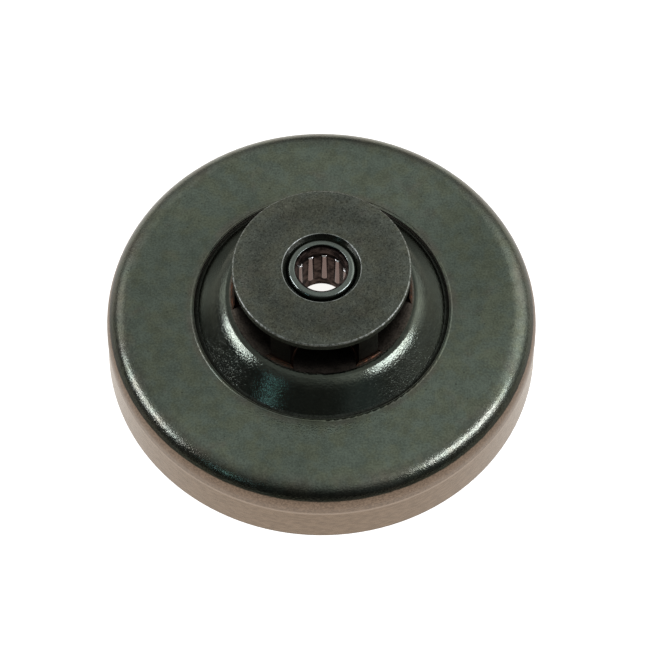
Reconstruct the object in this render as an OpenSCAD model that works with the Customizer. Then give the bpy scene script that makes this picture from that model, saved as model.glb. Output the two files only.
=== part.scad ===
// Chainsaw clutch drum: a pressed steel cup with a domed centre, a spur sprocket and a guide
// washer brazed on top of the dome, and a drawn-cup needle bearing pressed into their bore.
// The drum stands on its open rim. z = 0 is the rim and +Z runs up the axis, sprocket side up.

/* [Drum cup] */
// Outside diameter of the drum
drum_d = 76; // [74:0.5:82]
// Height from the rim to the outer face of the web
drum_h = 14.7; // [13.5:0.1:18]
// Thickness of the pressed sheet
sheet_t = 2.5; // [2:0.1:2.8]
// Outside radius of the shoulder between the skirt and the web
shoulder_r = 5; // [4:0.1:6]
// Height of the ground band that the brake strap grips
brake_land_h = 8.2; // [6:0.1:8.5]
// Depth of the ground band under the rest of the skirt
brake_land_cut = 0.1; // [0.05:0.01:0.3]
// Chamfer on both edges of the rim
rim_chamfer = 0.15; // [0.1:0.05:0.8]

/* [Dome] */
// Diameter of the crease round the foot of the dome
dome_d = 45.2; // [44.6:0.1:50]
// Height of the dome above the web
dome_h = 4.9; // [4.2:0.1:5.2]
// Slope of the dome's flank at its foot, in degrees
dome_slope = 48; // [46:1:54]
// Outside radius of the dome's crest
crest_r = 1.6; // [1:0.1:2.6]
// Inside radius of the dome's crest
crest_in_r = 0.5; // [0.3:0.1:1]
// Slope at which the crest runs out into the bulged flank, in degrees
crest_slope = 36; // [32:1:38]
// Outside radius of the bulged flank
flank_r = 10; // [9:0.5:12]
// Depth of the crease below the web
crease_depth = 1.1; // [0.6:0.05:1.2]
// Inside rounding at the foot of the dome
foot_round_r = 1.3; // [0.8:0.1:2]
// Height of the raised bead that borders the crease
bead_h = 0.12; // [0.05:0.01:0.2]
// Section radius of that bead
bead_r = 0.32; // [0.25:0.01:0.45]

/* [Sprocket] */
// Number of teeth
tooth_count = 6; // [6:1:7]
// Diameter over the tooth tips
tip_d = 31; // [29:0.1:32]
// Radius of the round gullet between two teeth
gullet_r = 6; // [5:0.1:6.1]
// Least diameter of the sprocket, across the bottoms of opposite gullets
root_d = 16.6; // [16.2:0.1:17.2]
// Height of the teeth between the dome and the guide washer
tooth_h = 7.4; // [6.4:0.1:8.4]
// Turn of the sprocket about the axis, in degrees
sprocket_turn = 2.3; // [0:0.1:60]
// Diameter of the hub's stub that passes through the dome
stub_d = 17; // [16:0.1:19]
// Chamfer at the lower end of the stub
stub_chamfer = 0.3; // [0.1:0.05:0.5]

/* [Guide washer] */
// Outside diameter of the washer
washer_d = 31.4; // [29:0.1:33]
// Thickness of the washer
washer_t = 1.5; // [1.2:0.1:2]
// Rounded upper edge of the washer
washer_edge_r = 0.35; // [0.2:0.05:0.8]
// Chamfer round the bore in the washer's outer face
bore_chamfer = 0.95; // [0.5:0.05:1.2]

/* [Braze] */
// Leg of the copper fillets
braze_leg = 0.5; // [0.35:0.05:0.8]
// Least thickness at the two edges of a fillet
braze_edge = 0.05; // [0.03:0.01:0.1]

/* [Needle bearing] */
// Diameter of the shaft that runs inside the needles
shaft_d = 8; // [7.8:0.05:8.3]
// Diameter of a needle
needle_d = 1.5; // [1.4:0.05:1.6]
// Length of a needle
needle_len = 7.8; // [6.8:0.1:8.8]
// Number of needles
needle_count = 11; // [10:1:11]
// Turn of the first needle about the axis, in degrees
needle_turn = 83.6; // [0:0.1:120]
// Rounding at the ends of a needle
needle_end_r = 0.2; // [0.1:0.05:0.3]
// Outside diameter of the drawn cup
bearing_d = 12; // [11.9:0.05:12.4]
// Length of the drawn cup
bearing_len = 13.5; // [12.5:0.1:14]
// Depth of the cup under the washer's face
bearing_recess = 0.1; // [0:0.05:0.4]
// Diameter of the opening in the cup's lips
lip_d = 9.44; // [9.2:0.02:9.8]
// Thickness of the lips
lip_t = 0.5; // [0.4:0.05:0.6]
// Outside corner radius of the drawn cup
cup_corner_r = 0.8; // [0.6:0.05:0.85]
// Radial clearance between the needles and the raceway
race_clearance = 0.02; // [0.01:0.01:0.05]
// Clearance round a needle in its pocket
pocket_clearance = 0.05; // [0.03:0.01:0.08]
// Radial clearance between the cage and the raceway
cage_clearance = 0.17; // [0.1:0.01:0.25]
// Radial wall of the cage
cage_wall = 1.07; // [0.95:0.01:1.1]
// End clearance between the cage and each lip
cage_end_clearance = 0.2; // [0.1:0.05:0.4]

/* [Hidden] */
$fn = 128;

// The pressed cup
drum_r = drum_d / 2;
web_in_z = drum_h - sheet_t;
corner_z = drum_h - shoulder_r;
shoulder_c = drum_r - shoulder_r;
dome_top_z = drum_h + dome_h;
crease_r = dome_d / 2;
crease_z = drum_h - crease_depth;
foot_in_r = crease_r - sheet_t / sin(dome_slope) + (crease_z - web_in_z) / tan(dome_slope);

// The sprocket and its washer
tip_r = tip_d / 2;
gullet_c = root_d / 2 + gullet_r;
stub_r = stub_d / 2;
teeth_top_z = dome_top_z + tooth_h;
washer_top_z = teeth_top_z + washer_t;
washer_r = washer_d / 2;
bore_r = bearing_d / 2;

// The bearing
cup_top_z = washer_top_z - bearing_recess;
cup_bottom_z = cup_top_z - bearing_len;
cup_mid_z = (cup_top_z + cup_bottom_z) / 2;
stub_bottom_z = cup_bottom_z - bearing_recess;
needle_r = needle_d / 2;
pitch_r = shaft_d / 2 + needle_r;
race_r = pitch_r + needle_r + race_clearance;
lip_r = lip_d / 2;
cage_out_r = race_r - cage_clearance;
cage_in_r = cage_out_r - cage_wall;
cage_len = bearing_len - 2 * (lip_t + cage_end_clearance);
pocket_r = needle_r + pocket_clearance;
pocket_len = needle_len + 2 * pocket_clearance;
cut = 1;

// A sector of a round form, from one slope to a steeper one
module arc_sector(centre, radius, low_slope, high_slope) {
    turn = high_slope - low_slope;
    start = radius * [sin(low_slope), cos(low_slope)];
    end = radius * [sin(high_slope), cos(high_slope)];
    middle = radius / cos(turn / 2) * [sin(low_slope + turn / 2), cos(low_slope + turn / 2)];
    translate(centre) intersection() {
        circle(radius);
        polygon([[0, 0], start, middle, end]);
    }
}

// Half section of a dome: a flat top, a round crest, a bulged flank and a straight foot.
// The inset is how far it lies inside the dome's outer face.
module dome_section(foot_r, foot_z, inset, crest) {
    top_z = dome_top_z - inset;
    flank = flank_r - inset;
    crest_end_z = top_z - crest * (1 - cos(crest_slope));
    flank_end_z = crest_end_z - flank * (cos(crest_slope) - cos(dome_slope));
    flank_end_r = foot_r - (flank_end_z - foot_z) / tan(dome_slope);
    crest_end_r = flank_end_r - flank * (sin(dome_slope) - sin(crest_slope));
    crest_c = crest_end_r - crest * sin(crest_slope);
    polygon([[0, foot_z], [foot_r, foot_z], [flank_end_r, flank_end_z], [crest_end_r, crest_end_z],
             [crest_c, top_z], [0, top_z]]);
    arc_sector([crest_c, top_z - crest], crest, 0, crest_slope);
    arc_sector([flank_end_r - flank * sin(dome_slope), flank_end_z - flank * cos(dome_slope)],
            flank, crest_slope, dome_slope);
}

// Half section of everything below the cup's outer face
module cup_outer() {
    square([shoulder_c, drum_h]);
    square([drum_r, corner_z]);
    translate([shoulder_c, corner_z]) circle(shoulder_r);
    dome_section(crease_r, crease_z, 0, crest_r);
    translate([crease_r + bead_r, drum_h + bead_h - bead_r]) circle(bead_r);
}

// Half section of the hollow inside the cup
module cup_inner() {
    translate([0, -cut]) square([shoulder_c, web_in_z + cut]);
    translate([0, -cut]) square([drum_r - sheet_t, corner_z + cut]);
    translate([shoulder_c, corner_z]) circle(shoulder_r - sheet_t);
    dome_section(foot_in_r, web_in_z, sheet_t, crest_in_r);
    foot_round();
}

// What the rounded inner foot of the dome takes off the corner between web and flank
module foot_round() {
    leg = foot_round_r * tan(dome_slope / 2);
    centre = [foot_in_r + leg, web_in_z + foot_round_r];
    difference() {
        polygon([[foot_in_r, web_in_z], [foot_in_r + leg, web_in_z], centre,
                 [foot_in_r - leg * cos(dome_slope), web_in_z + leg * sin(dome_slope)]]);
        translate(centre) circle(foot_round_r);
    }
}

// The sharp crease: a notch between the bead and the dome's flank
module crease_notch() {
    notch_z = drum_h + bead_h - bead_r;
    rise = notch_z - crease_z + bead_r;
    polygon([[crease_r, crease_z], [crease_r, crease_z + rise],
             [crease_r - rise / tan(dome_slope), crease_z + rise]]);
}

// What a chamfer takes off a square corner at the origin, with the body up and to the right
module chamfer_section(leg) {
    polygon([[-leg, -leg], [2 * leg, -leg], [-leg, 2 * leg]]);
}

module drum_cup() {
    color("darkslategray") rotate_extrude() difference() {
        cup_outer();
        cup_inner();
        crease_notch();
        translate([drum_r - brake_land_cut, -cut]) square([cut, brake_land_h + cut]);
        translate([drum_r - brake_land_cut, 0]) mirror([1, 0]) chamfer_section(rim_chamfer);
        translate([drum_r - sheet_t, 0]) chamfer_section(rim_chamfer);
        square([stub_r, dome_top_z + cut]);
    }
}

// A copy of its children in the middle of each gullet
module at_gullets() {
    for (i = [0 : tooth_count - 1])
        rotate(sprocket_turn - 90 + i * 360 / tooth_count) translate([gullet_c, 0, 0]) children();
}

// The toothed body of the sprocket, from a height upwards
module toothed_body(height) {
    difference() {
        cylinder(r = tip_r, h = height);
        at_gullets() translate([0, 0, -cut]) cylinder(r = gullet_r, h = height + 2 * cut);
    }
}

module sprocket() {
    color("sienna") difference() {
        union() {
            translate([0, 0, dome_top_z]) toothed_body(tooth_h);
            rotate_extrude() difference() {
                translate([0, stub_bottom_z]) square([stub_r, dome_top_z - stub_bottom_z]);
                translate([stub_r, stub_bottom_z]) mirror([1, 0]) chamfer_section(stub_chamfer);
            }
        }
        translate([0, 0, stub_bottom_z - cut])
            cylinder(r = bore_r, h = teeth_top_z - stub_bottom_z + 2 * cut);
    }
}

module guide_washer() {
    color("darkslategray") rotate_extrude() difference() {
        union() {
            translate([0, teeth_top_z]) square([washer_r - washer_edge_r, washer_t]);
            translate([0, teeth_top_z]) square([washer_r, washer_t - washer_edge_r]);
            translate([washer_r - washer_edge_r, washer_top_z - washer_edge_r]) circle(washer_edge_r);
        }
        translate([0, teeth_top_z - cut]) square([bore_r, washer_t + 2 * cut]);
        translate([bore_r, washer_top_z]) mirror([0, 1]) chamfer_section(bore_chamfer);
    }
}

// Section of a hollow fillet in the corner at the origin, with a blunt edge at both ends
module fillet_section() {
    arc_r = braze_leg + 2 * braze_edge;
    difference() {
        square(braze_leg);
        translate([arc_r + braze_edge, arc_r + braze_edge]) circle(arc_r);
    }
}

// The copper fillet round the feet of the teeth
module outer_braze_fillet() {
    color("peru") translate([0, 0, dome_top_z]) difference() {
        rotate_extrude() {
            square([tip_r, braze_leg]);
            translate([tip_r, 0]) fillet_section();
        }
        at_gullets() rotate_extrude() difference() {
            square([gullet_r, braze_leg + cut]);
            translate([gullet_r, 0]) mirror([1, 0]) fillet_section();
        }
        toothed_body(braze_leg + cut);
        translate([0, 0, -cut]) cylinder(r = root_d / 2 - braze_edge, h = braze_leg + 2 * cut);
    }
}

// The copper fillet round the stub, under the dome
module inner_braze_fillet() {
    color("peru") rotate_extrude()
        translate([stub_r, dome_top_z - sheet_t]) mirror([0, 1]) fillet_section();
}

module bearing_cup() {
    color("lightslategray") rotate_extrude() difference() {
        union() {
            translate([0, cup_bottom_z]) square([bore_r - cup_corner_r, bearing_len]);
            translate([0, cup_bottom_z + cup_corner_r])
                square([bore_r, bearing_len - 2 * cup_corner_r]);
            for (z = [cup_bottom_z + cup_corner_r, cup_top_z - cup_corner_r])
                translate([bore_r - cup_corner_r, z]) circle(cup_corner_r);
        }
        translate([0, cup_bottom_z + lip_t]) square([race_r, bearing_len - 2 * lip_t]);
        for (z = [cup_bottom_z, cup_top_z - lip_t]) difference() {
            translate([0, z - cut]) square([lip_r + lip_t / 2, lip_t + 2 * cut]);
            translate([lip_r + lip_t / 2, z + lip_t / 2]) circle(lip_t / 2);
        }
    }
}

// A copy of its children on the pitch circle, at the place of one needle
module at_needle(index) {
    rotate(needle_turn + index * 360 / needle_count) translate([pitch_r, 0, cup_mid_z]) children();
}

module bearing_cage() {
    color("saddlebrown") difference() {
        rotate_extrude() translate([cage_in_r, cup_mid_z - cage_len / 2]) square([cage_wall, cage_len]);
        for (i = [0 : needle_count - 1])
            at_needle(i) cylinder(r = pocket_r, h = pocket_len, center = true);
    }
}

// One needle, by its index from zero. An index past the count draws none.
module needle(index) {
    if (index < needle_count) color("rosybrown") at_needle(index) rotate_extrude() {
        translate([0, -needle_len / 2]) square([needle_r - needle_end_r, needle_len]);
        translate([0, needle_end_r - needle_len / 2])
            square([needle_r, needle_len - 2 * needle_end_r]);
        for (side = [-1, 1])
            translate([needle_r - needle_end_r, side * (needle_len / 2 - needle_end_r)])
                circle(needle_end_r);
    }
}

drum_cup();
sprocket();
guide_washer();
outer_braze_fillet();
inner_braze_fillet();
bearing_cup();
bearing_cage();
needle(0);  // needle_1
needle(1);  // needle_2
needle(2);  // needle_3
needle(3);  // needle_4
needle(4);  // needle_5
needle(5);  // needle_6
needle(6);  // needle_7
needle(7);  // needle_8
needle(8);  // needle_9
needle(9);  // needle_10
needle(10);  // needle_11
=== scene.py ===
# The looks of the clutch drum: one procedural material per kind of surface, a pale floor,
# soft studio light and the camera.
import math
from collections import namedtuple
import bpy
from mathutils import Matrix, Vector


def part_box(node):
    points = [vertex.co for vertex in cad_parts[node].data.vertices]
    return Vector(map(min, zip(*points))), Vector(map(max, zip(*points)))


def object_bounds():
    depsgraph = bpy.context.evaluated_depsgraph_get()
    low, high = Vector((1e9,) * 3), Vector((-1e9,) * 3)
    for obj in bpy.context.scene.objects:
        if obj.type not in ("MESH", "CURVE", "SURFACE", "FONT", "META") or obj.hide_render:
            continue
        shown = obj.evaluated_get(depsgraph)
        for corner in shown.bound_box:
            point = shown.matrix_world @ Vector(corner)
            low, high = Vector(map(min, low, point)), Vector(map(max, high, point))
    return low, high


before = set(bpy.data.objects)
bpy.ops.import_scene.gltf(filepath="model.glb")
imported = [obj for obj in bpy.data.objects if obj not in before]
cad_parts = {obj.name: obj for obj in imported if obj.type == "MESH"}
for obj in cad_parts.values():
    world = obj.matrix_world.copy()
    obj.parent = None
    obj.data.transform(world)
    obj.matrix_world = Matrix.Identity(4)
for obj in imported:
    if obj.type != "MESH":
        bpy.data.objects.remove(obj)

from types import SimpleNamespace

import bpy
from mathutils import Matrix, Vector

MM = 0.001
cad_box = [list(corner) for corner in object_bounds()]

# Places read from the frame, in metres
DRUM_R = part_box("drum_cup")[1].x
DOME_TOP_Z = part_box("drum_cup")[1].z
WASHER_LOW, WASHER_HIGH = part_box("guide_washer")
BEARING_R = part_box("bearing_cup")[1].x
NEEDLES = [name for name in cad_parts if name.startswith("needle_")]
NEEDLE_TOP_Z = max(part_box(name)[1].z for name in NEEDLES)

# Heights above the drum's open rim
LAND_EDGE_Z = 8.2 * MM  # upper edge of the ground land for the brake strap
FRICTION_TOP_Z = 9.7 * MM  # upper edge of the band that the shoes rub inside
OXIDE_EDGE_Z = 11.78 * MM  # lower edge of the oxide, above the ground skirt
WEB_Z = 14.7 * MM

# Distances from the drum's axis
FACE_BORE_R = BEARING_R + 0.95 * MM  # bore edge of the washer's flat face
DOME_SHADE_R = 13.5 * MM  # where the painted shade under the washer on the dome's top is darkest
CREST_R = 17.0 * MM
CREASE_R = 22.6 * MM
SHOULDER_R = 33.0 * MM
INNER_WALL_R = 36.0 * MM

# Rings of the washer's face over which the rubbed zones by the bore and by the rim fade out
BORE_RUB = (8.0 * MM, 11.0 * MM)
RIM_RUB = (12.0 * MM, 14.5 * MM)

# Sizes of the oxide's grain and of its clouds
GRAIN = 0.35 * MM
CLOUD = 2.2 * MM

# Colours, as linear red, green and blue
Coat = namedtuple("Coat", "base olive brown")
DRUM_OXIDE = Coat((0.096, 0.115, 0.092), (0.102, 0.114, 0.080), (0.112, 0.100, 0.082))
WASHER_OXIDE = Coat((0.074, 0.080, 0.066), (0.078, 0.080, 0.060), (0.086, 0.076, 0.066))
DOME_OXIDE = (0.090, 0.101, 0.082)
HEAT_SCALE = (0.135, 0.113, 0.092)
# Painted shade: a near-black, unmetallic colour at the flank's foot in the crease.
FOOT_SHADE = (0.013, 0.012, 0.010)
# Painted light: a pale, unmetallic colour on the crease's wall lifts the shade in the groove.
WALL_LIGHT = (0.13, 0.117, 0.100)
SKIRT_STEEL = (0.200, 0.149, 0.113)
LAND_STEEL = (0.205, 0.152, 0.112)
LAND_EDGE_GLINT = (0.36, 0.29, 0.24)
# Painted highlight and wear: the bright steel on the washer's bore edge and rim.
GLINT_AND_WORN_STEEL = (0.38, 0.40, 0.37)
SINTERED_STEEL = (0.024, 0.020, 0.016)
COPPER_STAIN = (0.045, 0.022, 0.014)
BRAZE_DARK, BRAZE_COPPER = (0.024, 0.017, 0.012), (0.070, 0.032, 0.019)
CUP_STEEL = (0.125, 0.143, 0.126)
CAGE_DARK, CAGE_OILED = (0.014, 0.010, 0.009), (0.062, 0.044, 0.039)
NEEDLE_STEEL, NEEDLE_END_GLINT = (0.165, 0.118, 0.108), (0.75, 0.73, 0.70)
PAPER_DARK, PAPER_LIGHT = (0.61, 0.61, 0.61), (0.63, 0.63, 0.63)
PAPER_SEEN, PAPER_IN_METAL = (1.0, 0.98, 0.95), (1.0, 0.96, 0.90)

# The floor: its reach, its corners, how far it lies under the rim, and the distances from the axis
# over which its light in the metal fades
FLOOR_REACH = 40.0
FLOOR_CORNERS = 64
FLOOR_GAP = 0.02 * MM
FLOOR_FADE = (60 * MM, 220 * MM)

# The studio's glows: each one's direction, the cosines of the angles from it at which its light
# starts and is full, its strength outside and inside, and its colour
Glow = namedtuple("Glow", "toward start full outside inside colour")
WHITE, COOL_WHITE, BLUISH = (1.0, 1.0, 1.0), (0.97, 1.0, 1.0), (0.7, 0.9, 1.0)
GLOWS = (
    Glow((0.0, 0.15, 0.99), 0.27, 1.18, 0.06, 0.95, COOL_WHITE),
    Glow((0.72, 0.45, 0.45), 0.85, 1.0, 0.0, 1.2, WHITE),
    Glow((-0.80, 0.50, 0.34), 0.95, 1.0, 0.0, 1.5, WHITE),
    Glow((0.78, -0.25, 0.52), 0.90, 1.0, 0.0, 0.35, WHITE),
    Glow((-0.78, 0.02, 0.62), 0.96, 1.0, 0.0, 0.6, WHITE),
    Glow((0.84, 0.27, 0.47), 0.94, 1.0, 0.0, 0.45, WHITE),
    Glow((0.36, -0.54, 0.76), 0.94, 1.0, 0.0, 0.45, WHITE),
    Glow((0.90, 0.30, 0.0), 0.70, 1.0, 0.0, 0.30, WHITE),
    Glow((-0.50, 0.80, 0.33), 0.80, 1.0, 0.0, 0.60, WHITE),
    Glow((0.50, 0.80, 0.33), 0.80, 1.0, 0.0, 0.45, WHITE),
    Glow((0.51, -0.765, 0.395), 0.94, 1.0, 0.0, 0.12, BLUISH),
)

# The softboxes: each one spans the directions from start to end, with its width across them in
# degrees
Softbox = namedtuple("Softbox", "name start end width radiance colour")
LAMP_DISTANCE = 0.9
LAMP_WHITE, WINDOW_TEAL = (0.96, 0.96, 1.08), (0.45, 0.85, 1.0)
SOFTBOXES = (
    Softbox("left_lamp", (-0.81, -0.30, 0.475), (-0.905, 0.21, 0.345), 9.0, 12.5, LAMP_WHITE),
    Softbox("right_lamp", (0.61, -0.516, 0.602), (0.915, 0.003, 0.402), 9.0, 13.0, LAMP_WHITE),
    Softbox("window", (-0.62, -0.67, 0.41), (-0.56, -0.725, 0.40), 4.5, 5.5, WINDOW_TEAL),
)

# The camera: angles in degrees, lens and sensor in millimetres, the rest in metres
CAMERA_ELEVATION = 60.49
CAMERA_ROLL = 0.21
CAMERA_DISTANCE = 1.2
CAMERA_LENS = 372.4
CAMERA_SENSOR = 36.0
CAMERA_REACH = 100.0
AIM_RIGHT = 0.632 * MM
AIM_UP = 4.099 * MM

# Sockets of a mix node that mixes colours
MIX_FIRST, MIX_SECOND, MIX_RESULT = 6, 7, 2


class Shader:
    """One material's node tree, with short ways to add nodes to it."""

    def __init__(self, name):
        self.material = bpy.data.materials.new(name)
        self.material.use_nodes = True
        self.nodes = self.material.node_tree.nodes
        self.links = self.material.node_tree.links
        self.nodes.clear()
        self.output = self.nodes.new("ShaderNodeOutputMaterial")
        self.place = self.nodes.new("ShaderNodeTexCoord").outputs["Object"]

    def set(self, socket, value):
        """Gives a socket a link or a constant."""
        if isinstance(value, bpy.types.NodeSocket):
            self.links.new(value, socket)
        elif value is not None:
            socket.default_value = value

    def math(self, operation, a, b=None):
        node = self.nodes.new("ShaderNodeMath")
        node.operation = operation
        for socket, value in zip(node.inputs, (a, b)):
            self.set(socket, value)
        return node.outputs[0]

    def product(self, *factors):
        total = factors[0]
        for factor in factors[1:]:
            total = self.math("MULTIPLY", total, factor)
        return total

    def larger(self, a, b):
        return self.math("MAXIMUM", a, b)

    def all_but(self, share):
        """What a share leaves of one."""
        return self.math("SUBTRACT", 1.0, share)

    def split(self, vector):
        node = self.nodes.new("ShaderNodeSeparateXYZ")
        self.set(node.inputs[0], vector)
        return node.outputs

    def join(self, x, y, z):
        node = self.nodes.new("ShaderNodeCombineXYZ")
        for socket, value in zip(node.inputs, (x, y, z)):
            self.set(socket, value)
        return node.outputs[0]

    def radius(self):
        """Distance from the drum's axis."""
        x, y, _ = self.split(self.place)
        return self.math("SQRT", self.math("ADD", self.product(x, x), self.product(y, y)))

    def height(self):
        return self.split(self.place)[2]

    def around(self, stretch):
        """Coordinates that run round the axis, along it and outwards, shortened along the turn."""
        x, y, z = self.split(self.place)
        turn = self.math("MULTIPLY", self.math("ARCTAN2", y, x), DRUM_R / stretch)
        return self.join(turn, z, self.radius())

    def ramp(self, value, low, high, start=0.0, end=1.0):
        """A smooth step from start to end, as value goes from low to high."""
        node = self.nodes.new("ShaderNodeMapRange")
        node.interpolation_type = "SMOOTHSTEP"
        for name, setting in (("From Min", low), ("From Max", high), ("To Min", start), ("To Max", end)):
            node.inputs[name].default_value = setting
        self.set(node.inputs["Value"], value)
        return node.outputs["Result"]

    def band(self, value, low, high, blur):
        """One between low and high, and zero outside, with soft ends."""
        rise = self.ramp(value, low - blur, low)
        fall = self.ramp(value, high, high + blur, 1.0, 0.0)
        return self.product(rise, fall)

    def noise(self, size, detail=2.0, roughness=0.5, distortion=0.0, place=None):
        """Noise with grains of about that size in metres, from 0 to 1."""
        node = self.nodes.new("ShaderNodeTexNoise")
        node.inputs["Scale"].default_value = 1.0 / size
        node.inputs["Detail"].default_value = detail
        node.inputs["Roughness"].default_value = roughness
        node.inputs["Distortion"].default_value = distortion
        self.set(node.inputs["Vector"], place or self.place)
        return node.outputs["Fac"]

    def patches(self, size, low, high, start=0.0, end=1.0, **kind):
        """Patches of about that size that go from start to end, as noise goes from low to high."""
        return self.ramp(self.noise(size, **kind), low, high, start, end)

    def cells(self, size):
        """Distance to the nearest of many points that lie about that size apart, from 0 to 1."""
        node = self.nodes.new("ShaderNodeTexVoronoi")
        node.inputs["Scale"].default_value = 1.0 / size
        self.set(node.inputs["Vector"], self.place)
        return node.outputs["Distance"]

    def mix(self, share, first, second):
        """Two colours, with that share of the second."""
        node = self.nodes.new("ShaderNodeMix")
        node.data_type = "RGBA"
        self.set(node.inputs["Factor"], share)
        for index, value in ((MIX_FIRST, first), (MIX_SECOND, second)):
            is_link = isinstance(value, bpy.types.NodeSocket)
            self.set(node.inputs[index], value if is_link else (*value, 1.0))
        return node.outputs[MIX_RESULT]

    def shade(self, colour, factor):
        """A colour made darker or lighter by a factor."""
        node = self.nodes.new("ShaderNodeVectorMath")
        node.operation = "SCALE"
        self.set(node.inputs[0], colour)
        self.set(node.inputs["Scale"], factor)
        return node.outputs[0]

    def bump(self, heights, depth, strength=1.0):
        """Surface relief: heights from 0 to 1 stand for this depth in metres."""
        node = self.nodes.new("ShaderNodeBump")
        self.set(node.inputs["Strength"], strength)
        node.inputs["Distance"].default_value = depth
        self.set(node.inputs["Height"], heights)
        return node.outputs[0]

    def emission(self, colour, strength):
        node = self.nodes.new("ShaderNodeEmission")
        node.inputs["Color"].default_value = (*colour, 1.0)
        self.set(node.inputs["Strength"], strength)
        return node.outputs[0]

    def finish(self, surface):
        self.links.new(surface, self.output.inputs["Surface"])
        return self.material

    def metal(self, colour, roughness, normal, edge_tint=1.0, metallic=1.0):
        node = self.nodes.new("ShaderNodeBsdfPrincipled")
        self.set(node.inputs["Base Color"], colour)
        self.set(node.inputs["Roughness"], roughness)
        self.set(node.inputs["Normal"], normal)
        self.set(node.inputs["Metallic"], metallic)
        node.inputs["Specular Tint"].default_value = (edge_tint, edge_tint, edge_tint, 1.0)
        return self.finish(node.outputs[0])


def speckled(s, colour, dark, light, grain=GRAIN, cloud=CLOUD):
    """A colour with fine grains and broad clouds, from darker to lighter by factors."""
    fine = s.product(s.noise(grain), 0.6)
    broad = s.product(s.noise(cloud, detail=3.0, roughness=0.6), 0.4)
    return s.shade(colour, s.ramp(s.math("ADD", fine, broad), 0.35, 0.65, dark, light))


def oxide_coat(s, coat, brown_zone=None):
    """Colour of the oxide: faint clouds of olive, brown smears, dark specks and fine grain."""
    olive = s.product(s.patches(3.5 * MM, 0.42, 0.62, detail=3.0, roughness=0.6), 0.8)
    smears = s.patches(8 * MM, 0.55, 0.75, detail=4.0, roughness=0.65, distortion=0.6)
    tinted = s.mix(olive, coat.base, coat.olive)
    tinted = s.mix(s.product(smears, 0.5), tinted, coat.brown)
    tinted = s.shade(tinted, s.patches(38 * MM, 0.35, 0.65, 0.90, 1.12, detail=1.0))
    if brown_zone is not None:
        browner = s.patches(5 * MM, 0.35, 0.65, 0.10, 0.55, detail=3.0)
        tinted = s.mix(s.product(brown_zone, browner), tinted, coat.brown)
    specks = s.ramp(s.cells(2.5 * MM), 0.04, 0.09, 0.62, 1.0)
    return speckled(s, s.shade(tinted, specks), 0.79, 1.21)


def crinkle(s, depth, size, strength=1.0):
    """The fine crinkle of pressed and oxidised sheet, which breaks the highlights up."""
    fine = s.noise(size, detail=1.0)
    coarse = s.product(s.noise(size * 2.0, detail=0.0), 0.9)
    return s.bump(s.math("ADD", fine, coarse), depth, strength)


def skirt_zones(s, at):
    """Adds to the drum's zones its outer side, the bare steel and the land in it."""
    ragged = s.math("ADD", at.height, s.product(s.noise(1.2 * MM), 0.25 * MM))
    below_oxide = s.ramp(ragged, OXIDE_EDGE_Z, OXIDE_EDGE_Z + 0.25 * MM, 1.0, 0.0)
    at.outer_side = s.ramp(at.radius, INNER_WALL_R, INNER_WALL_R + 0.2 * MM)
    by_shoes = s.product(s.ramp(at.height, FRICTION_TOP_Z - 0.3 * MM, FRICTION_TOP_Z, 1.0, 0.0),
                         s.ramp(at.radius, SHOULDER_R, SHOULDER_R + 1.0 * MM))
    at.bare = s.larger(s.product(below_oxide, at.outer_side), by_shoes)
    below_land_edge = s.ramp(at.height, LAND_EDGE_Z - 0.1 * MM, LAND_EDGE_Z, 1.0, 0.0)
    at.land = s.product(at.bare, below_land_edge)


def dome_zones(s, at):
    """Adds to the drum's zones the dome, the ring of painted shade in its crest, and its top inside
    that.
    """
    in_crease = s.ramp(at.radius, CREASE_R - 0.3 * MM, CREASE_R, 1.0, 0.0)
    at.dome = s.product(in_crease, s.ramp(at.height, WEB_Z - 2.0 * MM, WEB_Z - 1.9 * MM))
    # Painted shade: a ring at the crest under the washer's edge, darkened by half, stands in for the
    # washer's shade.
    heated = s.band(at.radius, CREST_R - 0.6 * MM, CREST_R - 0.2 * MM, 0.6 * MM)
    at.heated = s.product(at.dome, heated, 0.5)
    at.dome_top = s.product(at.dome, s.ramp(at.radius, CREST_R - 0.9 * MM, CREST_R - 0.6 * MM, 1.0, 0.0))


def crease_zones(s, at):
    """Adds to the drum's zones the crease, with painted shade on the flank's foot and painted light on
    its wall.
    """
    at.by_crease = s.band(at.radius, CREASE_R, CREASE_R + 0.8 * MM, 1.2 * MM)
    at.crease = s.band(at.radius, CREASE_R - 0.2 * MM, CREASE_R + 1.0 * MM, 0.5 * MM)
    at.foot_dust = s.product(s.band(at.radius, CREASE_R - 0.8 * MM, CREASE_R - 0.10 * MM, 0.5 * MM),
                             s.band(at.height, WEB_Z - 1.2 * MM, WEB_Z - 0.4 * MM, 0.3 * MM),
                             s.patches(0.7 * MM, 0.35, 0.65, 0.25, 0.65))
    at.wall_dust = s.product(s.band(at.radius, CREASE_R, CREASE_R + 0.6 * MM, 0.1 * MM),
                             s.band(at.height, WEB_Z - 1.2 * MM, WEB_Z - 0.45 * MM, 0.25 * MM))


def drum_zones(s):
    """The radius and height of a point of the drum, and how far it lies in each of its zones."""
    at = SimpleNamespace(radius=s.radius(), height=s.height())
    at.by_shoulder = s.ramp(at.radius, SHOULDER_R, SHOULDER_R + 3.0 * MM)
    skirt_zones(s, at)
    dome_zones(s, at)
    crease_zones(s, at)
    return at


def drum_oxide(s, at):
    """Colour of the drum's oxide, darker towards its lower edge and browner by the crease and shoulder.
    """
    oxide = oxide_coat(s, DRUM_OXIDE, s.larger(at.by_crease, at.by_shoulder))
    edge_darkening = s.ramp(at.height, OXIDE_EDGE_Z, OXIDE_EDGE_Z + 1.7 * MM, 0.25, 1.0)
    return s.shade(oxide, s.larger(edge_darkening, s.all_but(at.outer_side)))


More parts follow.
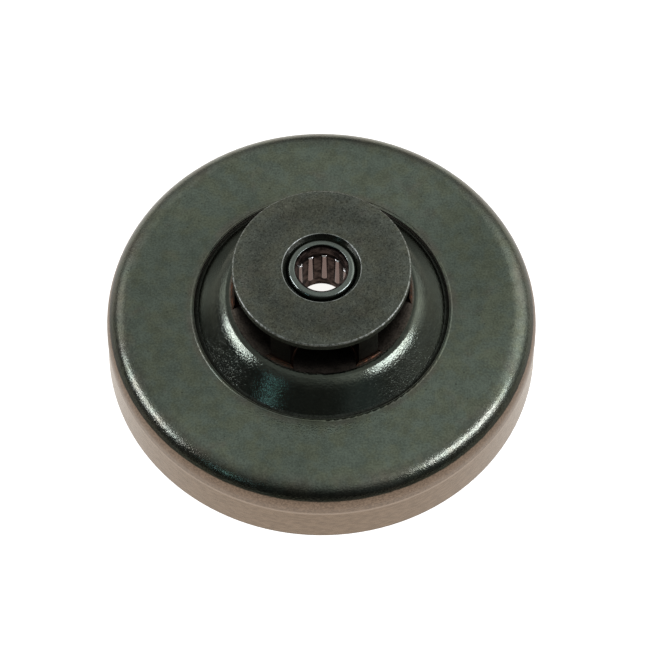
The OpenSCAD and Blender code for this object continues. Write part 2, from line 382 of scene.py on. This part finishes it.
def dome_colour(s, at, oxide):
    """The dome's own tone, painted shade in a ring at its crest under the washer's edge, and heat scale
    on its top, darkened inwards by painted shade under the washer.
    """
    colour = s.mix(s.product(at.dome, 0.7), oxide, speckled(s, DOME_OXIDE, 0.88, 1.12))
    # Painted shade at the crest, under the washer's edge.
    colour = s.shade(colour, s.all_but(at.heated))
    scale = speckled(s, HEAT_SCALE, 0.7, 1.3, cloud=1.5 * MM)
    # Painted shade: the heat scale is darkened inwards, down to a quarter at DOME_SHADE_R, where it lies
    # under the washer.
    scale = s.shade(scale, s.ramp(at.radius, DOME_SHADE_R, CREST_R - 1.0 * MM, 0.25, 1.0))
    return s.mix(at.dome_top, colour, scale)


def bare_steel(s, height):
    """Colour of the skirt: a grainy band, a painted glint along the edge of the land, and the land,
    darker towards the bottom edge.
    """
    grain = s.patches(0.4 * MM, 0.33, 0.68, 0.70, 1.20, detail=3.0, roughness=0.7)
    lines = s.patches(0.5 * MM, 0.3, 0.7, 0.87, 1.13, place=s.around(3.0))
    skirt, land = s.shade(SKIRT_STEEL, grain), s.shade(LAND_STEEL, lines)
    steel = s.mix(s.ramp(height, LAND_EDGE_Z - 0.1 * MM, LAND_EDGE_Z), land, skirt)
    # Painted highlight: a light line where the land's edge would catch the light.
    land_edge = s.band(height, LAND_EDGE_Z - 0.3 * MM, LAND_EDGE_Z + 0.1 * MM, 0.35 * MM)
    steel = s.mix(s.product(land_edge, 0.6), steel, LAND_EDGE_GLINT)
    # Darker towards the bottom edge.
    return s.shade(steel, s.ramp(height, 0.15 * MM, 0.5 * MM, 0.6, 1.0))


def drum_roughness(s, at):
    """Glossy oxide, duller by the shoulder and crease and on the dome's top; duller bare steel."""
    dulled = s.larger(s.product(at.by_shoulder, 0.06), s.product(at.dome_top, 0.22))
    coat = s.math("ADD", s.patches(0.8 * MM, 0.3, 0.7, 0.12, 0.17), dulled)
    coat = s.math("ADD", coat, s.product(at.crease, 0.18))
    steel = s.math("SUBTRACT", s.product(at.bare, 0.16), s.product(at.land, 0.10))
    return s.math("ADD", coat, steel)


def drum_material():
    """Oxide on the web, shoulder and inside, and bare ground steel round the skirt."""
    s = Shader("drum_steel")
    at = drum_zones(s)
    colour = dome_colour(s, at, drum_oxide(s, at))
    # Painted shade darkens the flank's foot in the crease.
    colour = s.mix(at.foot_dust, colour, FOOT_SHADE)
    # Painted light lifts the shade on the crease's wall.
    colour = s.mix(at.wall_dust, colour, WALL_LIGHT)
    colour = s.mix(at.bare, colour, bare_steel(s, at.height))
    smooth = s.larger(s.product(at.land, 0.7), s.product(at.crease, 0.93))
    normal = crinkle(s, depth=0.021 * MM, size=0.18 * MM, strength=s.all_but(smooth))
    # The painted shade and painted light in the crease are not metallic.
    metal_share = s.all_but(s.larger(at.foot_dust, at.wall_dust))
    return s.metal(colour, drum_roughness(s, at), normal, metallic=metal_share)


def washer_glints_and_wear(s, radius):
    """Share of bright steel: a painted glint along the bore's edge and, in short spots, painted glints
    and wear along the rim.
    """
    bore_edge_glint = s.band(radius, FACE_BORE_R - 0.03 * MM, FACE_BORE_R + 0.05 * MM, 0.06 * MM)
    rim = s.product(s.ramp(radius, WASHER_HIGH.x - 0.35 * MM, WASHER_HIGH.x - 0.15 * MM),
                    s.ramp(s.height(), WASHER_HIGH.z - 0.4 * MM, WASHER_HIGH.z - 0.2 * MM))
    return s.larger(s.product(bore_edge_glint, s.patches(1.5 * MM, 0.35, 0.6, 0.25, 0.9)),
                    s.product(rim, s.patches(0.5 * MM, 0.4, 0.6, 0.05, 0.55)))


def washer_material():
    """Pitted oxide, rubbed lighter near the bore and the rim, with painted shade on the chamfer at the
    bore and painted glints along the bore's edge and rim.
    """
    s = Shader("washer_steel")
    radius = s.radius()
    pits = s.patches(0.26 * MM, 0.36, 0.48, 0.6, 1.0)
    specks = s.patches(0.22 * MM, 0.60, 0.72, 1.0, 1.5, detail=1.0)
    rubbed = s.larger(s.ramp(radius, *BORE_RUB, 1.12, 0.95), s.ramp(radius, *RIM_RUB, 0.95, 1.18))
    oxide = s.shade(oxide_coat(s, WASHER_OXIDE), s.product(pits, specks, rubbed))
    on_face = s.ramp(radius, FACE_BORE_R - 0.12 * MM, FACE_BORE_R - 0.04 * MM)
    # Painted shade: the chamfer at the bore is darkened to 0.4.
    oxide = s.shade(oxide, s.ramp(on_face, 0.0, 1.0, 0.4, 1.0))
    colour = s.mix(washer_glints_and_wear(s, radius), oxide, GLINT_AND_WORN_STEEL)
    roughness = s.ramp(on_face, 0.0, 1.0, 0.20, 0.40)
    return s.metal(colour, roughness, crinkle(s, depth=0.012 * MM, size=0.24 * MM, strength=on_face))


def sprocket_material():
    """Dark sintered steel, stained by copper at the teeth's feet and under the washer."""
    s = Shader("sprocket_steel")
    height = s.height()
    foot = s.ramp(height, DOME_TOP_Z, DOME_TOP_Z + 2.0 * MM, 1.0, 0.0)
    head = s.ramp(height, WASHER_LOW.z - 1.2 * MM, WASHER_LOW.z, 0.0, 0.7)
    patches = s.patches(1.5 * MM, 0.42, 0.66, detail=4.0, roughness=0.65)
    dark = speckled(s, SINTERED_STEEL, 0.7, 1.3, grain=0.4 * MM, cloud=2.0 * MM)
    colour = s.mix(s.product(s.larger(foot, head), patches), dark, COPPER_STAIN)
    return s.metal(colour, roughness=0.36, normal=crinkle(s, depth=0.015 * MM, size=0.35 * MM))


def braze_material():
    """Tarnished copper, brighter in patches."""
    s = Shader("copper_braze")
    bright = s.patches(0.9 * MM, 0.40, 0.66, detail=4.0, roughness=0.6)
    colour = s.mix(bright, BRAZE_DARK, BRAZE_COPPER)
    return s.metal(colour, roughness=0.30, normal=s.bump(s.noise(0.6 * MM), depth=0.03 * MM))


def bearing_cup_material():
    """Drawn steel with faint rings round its axis."""
    s = Shader("bearing_cup_steel")
    rings = s.noise(0.12 * MM, place=s.around(12.0))
    colour = s.shade(CUP_STEEL, s.ramp(rings, 0.3, 0.7, 0.85, 1.12))
    return s.metal(colour, roughness=0.20, normal=s.bump(rings, depth=0.003 * MM))


def cage_material():
    """Oily steel, with a ring of painted shade under the lip at the needles' upper ends."""
    s = Shader("cage_steel")
    oiled = s.patches(0.9 * MM, 0.35, 0.65, detail=3.0)
    # Painted shade: the cage is darkened to a fifth in a ring under the lip.
    lip_shade = s.band(s.height(), NEEDLE_TOP_Z - 0.3 * MM, NEEDLE_TOP_Z + 0.5 * MM, 0.3 * MM)
    colour = s.shade(s.mix(oiled, CAGE_DARK, CAGE_OILED), s.all_but(s.product(lip_shade, 0.8)))
    normal = s.bump(s.noise(0.3 * MM), depth=0.008 * MM)
    return s.metal(colour, roughness=0.34, normal=normal, edge_tint=0.5)


def needle_material():
    """Oily polished steel with painted glints on its ends."""
    s = Shader("needle_steel")
    lines = s.noise(0.3 * MM)
    steel = s.shade(NEEDLE_STEEL, s.ramp(lines, 0.3, 0.7, 0.9, 1.08))
    # Painted highlight: near-white steel on the needles' upper ends.
    end = s.ramp(s.height(), NEEDLE_TOP_Z - 0.3 * MM, NEEDLE_TOP_Z - 0.2 * MM)
    normal = s.bump(lines, depth=0.001 * MM)
    return s.metal(s.mix(end, steel, NEEDLE_END_GLINT), roughness=0.16, normal=normal, edge_tint=0.7)


def floor_material():
    """Pale paper: it keeps the drum's shadow, is white to the camera and pale in the metal."""
    s = Shader("pale_paper")
    rays = s.nodes.new("ShaderNodeLightPath").outputs
    paper = s.nodes.new("ShaderNodeBsdfDiffuse")
    s.set(paper.inputs["Color"], s.mix(s.noise(2.0 * MM, detail=3.0), PAPER_DARK, PAPER_LIGHT))
    seen = s.nodes.new("ShaderNodeAddShader")
    s.set(seen.inputs[0], paper.outputs[0])
    s.set(seen.inputs[1], s.emission(PAPER_SEEN, s.product(rays["Is Camera Ray"], 0.93)))
    in_metal = s.emission(PAPER_IN_METAL, s.ramp(s.radius(), *FLOOR_FADE, 1.15, 0.30))
    either = s.nodes.new("ShaderNodeMixShader")
    s.set(either.inputs[0], s.larger(rays["Is Glossy Ray"], rays["Is Transmission Ray"]))
    s.set(either.inputs[1], seen.outputs[0])
    s.set(either.inputs[2], in_metal)
    return s.finish(either.outputs[0])


def paint(node_names, material):
    for name in node_names:
        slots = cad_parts[name].data.materials
        slots.clear()
        slots.append(material)


def make_floor():
    """A round sheet of paper under the drum, with its edge far out of view."""
    mesh = bpy.data.meshes.new("floor")
    angles = [2 * math.pi * i / FLOOR_CORNERS for i in range(FLOOR_CORNERS)]
    ring = [(FLOOR_REACH * math.cos(angle), FLOOR_REACH * math.sin(angle), 0.0) for angle in angles]
    mesh.from_pydata(ring, [], [tuple(range(FLOOR_CORNERS))])
    mesh.materials.append(floor_material())
    floor = bpy.data.objects.new("floor", mesh)
    bpy.context.scene.collection.objects.link(floor)
    floor.location.z = cad_box[0][2] - FLOOR_GAP


def make_softbox(box):
    """A lamp that faces the drum and covers the directions that the softbox spans."""
    start, end = Vector(box.start).normalized(), Vector(box.end).normalized()
    middle = (start + end).normalized()
    along = (end - start - middle * (end - start).dot(middle)).normalized()
    light = bpy.data.lights.new(box.name, "AREA")
    light.shape = "RECTANGLE"
    light.size = 2 * LAMP_DISTANCE * math.tan(start.angle(end) / 2)
    light.size_y = 2 * LAMP_DISTANCE * math.tan(math.radians(box.width) / 2)
    light.energy = box.radiance * math.pi * light.size * light.size_y
    light.color = box.colour
    lamp = bpy.data.objects.new(box.name, light)
    bpy.context.scene.collection.objects.link(lamp)
    axes = Matrix((along, middle.cross(along), middle)).transposed().to_4x4()
    lamp.matrix_world = Matrix.Translation(middle * LAMP_DISTANCE) @ axes


def glow_colour(nodes, links, way, glow):
    """A glow's light in the direction way."""
    nearness = nodes.new("ShaderNodeVectorMath")
    nearness.operation = "DOT_PRODUCT"
    nearness.inputs[1].default_value = Vector(glow.toward).normalized()
    links.new(way, nearness.inputs[0])
    level = nodes.new("ShaderNodeMapRange")
    level.interpolation_type = "SMOOTHSTEP"
    level.inputs["From Min"].default_value = glow.start
    level.inputs["From Max"].default_value = glow.full
    level.inputs["To Min"].default_value = glow.outside
    level.inputs["To Max"].default_value = glow.inside
    links.new(nearness.outputs["Value"], level.inputs["Value"])
    light = nodes.new("ShaderNodeVectorMath")
    light.operation = "SCALE"
    light.inputs[0].default_value = glow.colour
    links.new(level.outputs["Result"], light.inputs["Scale"])
    return light.outputs[0]


def make_world():
    """A studio that is bright above the drum, dim on the camera's side, and lit from the sides."""
    world = bpy.data.worlds.new("studio")
    bpy.context.scene.world = world
    world.use_nodes = True
    nodes, links = world.node_tree.nodes, world.node_tree.links
    nodes.clear()
    way = nodes.new("ShaderNodeTexCoord").outputs["Generated"]
    total = glow_colour(nodes, links, way, GLOWS[0])
    for glow in GLOWS[1:]:
        both = nodes.new("ShaderNodeVectorMath")
        both.operation = "ADD"
        links.new(total, both.inputs[0])
        links.new(glow_colour(nodes, links, way, glow), both.inputs[1])
        total = both.outputs[0]
    back = nodes.new("ShaderNodeBackground")
    out = nodes.new("ShaderNodeOutputWorld")
    links.new(total, back.inputs["Color"])
    links.new(back.outputs[0], out.inputs["Surface"])


def make_camera():
    """A long lens that looks down on the drum."""
    elevation = math.radians(CAMERA_ELEVATION)
    away = Vector((0.0, -math.cos(elevation), math.sin(elevation)))
    up = Vector((0.0, math.sin(elevation), math.cos(elevation)))
    aim = Vector((AIM_RIGHT, 0.0, 0.0)) + up * AIM_UP
    data = bpy.data.cameras.new("camera")
    data.sensor_width = CAMERA_SENSOR
    data.lens = CAMERA_LENS
    data.clip_end = CAMERA_REACH
    camera = bpy.data.objects.new("camera", data)
    bpy.context.scene.collection.objects.link(camera)
    camera.location = away * CAMERA_DISTANCE
    look = (camera.location - aim).to_track_quat("Z", "Y").to_matrix().to_4x4()
    roll = Matrix.Rotation(math.radians(CAMERA_ROLL), 4, "Z")
    camera.matrix_world = Matrix.Translation(camera.location) @ look @ roll
    bpy.context.scene.camera = camera


paint(["drum_cup"], drum_material())
paint(["guide_washer"], washer_material())
paint(["sprocket"], sprocket_material())
paint(["outer_braze_fillet", "inner_braze_fillet"], braze_material())
paint(["bearing_cup"], bearing_cup_material())
paint(["bearing_cage"], cage_material())
paint(NEEDLES, needle_material())

make_floor()
make_world()
for softbox in SOFTBOXES:
    make_softbox(softbox)
make_camera()
bpy.context.scene.view_settings.view_transform = "Standard"
